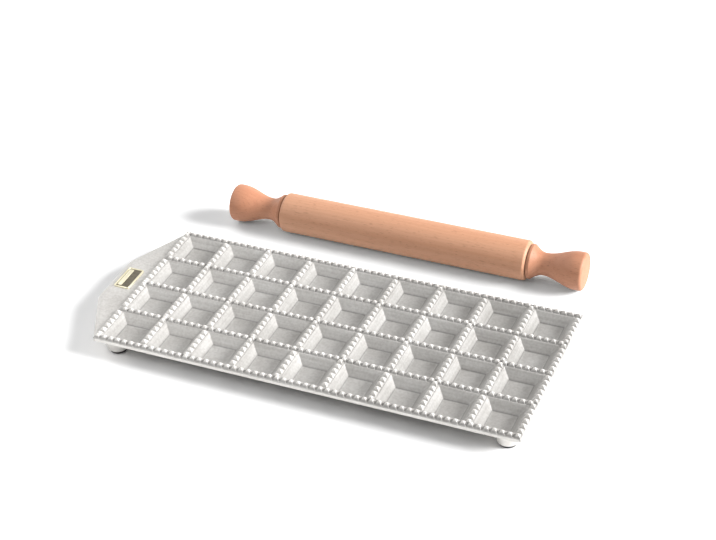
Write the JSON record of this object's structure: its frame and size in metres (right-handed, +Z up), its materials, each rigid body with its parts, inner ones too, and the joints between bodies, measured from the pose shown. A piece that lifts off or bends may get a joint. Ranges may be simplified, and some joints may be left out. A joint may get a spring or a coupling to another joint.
{
  "type": "ravioli mould",
  "caption": "Cast tray of square pockets with toothed cutting ridges and a grab tab on rubber feet, with its wooden rolling pin beside it.",
  "frame": {"origin": "on the table, under the middle of the set's box (tray and rolling pin together)", "axes": "+X along the tray away from its grab tab, +Y from the tray towards the rolling pin, +Z up"},
  "size_m": [0.3346, 0.2098, 0.03],
  "materials": {
    "cast_aluminium": "as-cast, tumbled matt",
    "black_rubber": "matt",
    "beech": "turned and sanded, unvarnished",
    "axle_steel": "drawn",
    "bush_nylon": "moulded"
  },
  "bodies": {
    "mould": {"mould_casting": "cast_aluminium", "foot_near_left": "black_rubber", "foot_near_right": "black_rubber", "foot_far_left": "black_rubber", "foot_far_right": "black_rubber", "pin_axle": "axle_steel", "pin_handle_left": "beech", "pin_handle_right": "beech"},
    "pin_barrel": {"pin_barrel": "beech", "pin_bush_left": "bush_nylon", "pin_bush_right": "bush_nylon"}
  },
  "joints": [
    {"name": "barrel_spin", "type": "hinge", "parent": "mould", "child": "pin_barrel", "pos_m": [0.0127, 0.08989, 0.015], "axis": [1, 0, 0], "continuous": true}
  ]
}
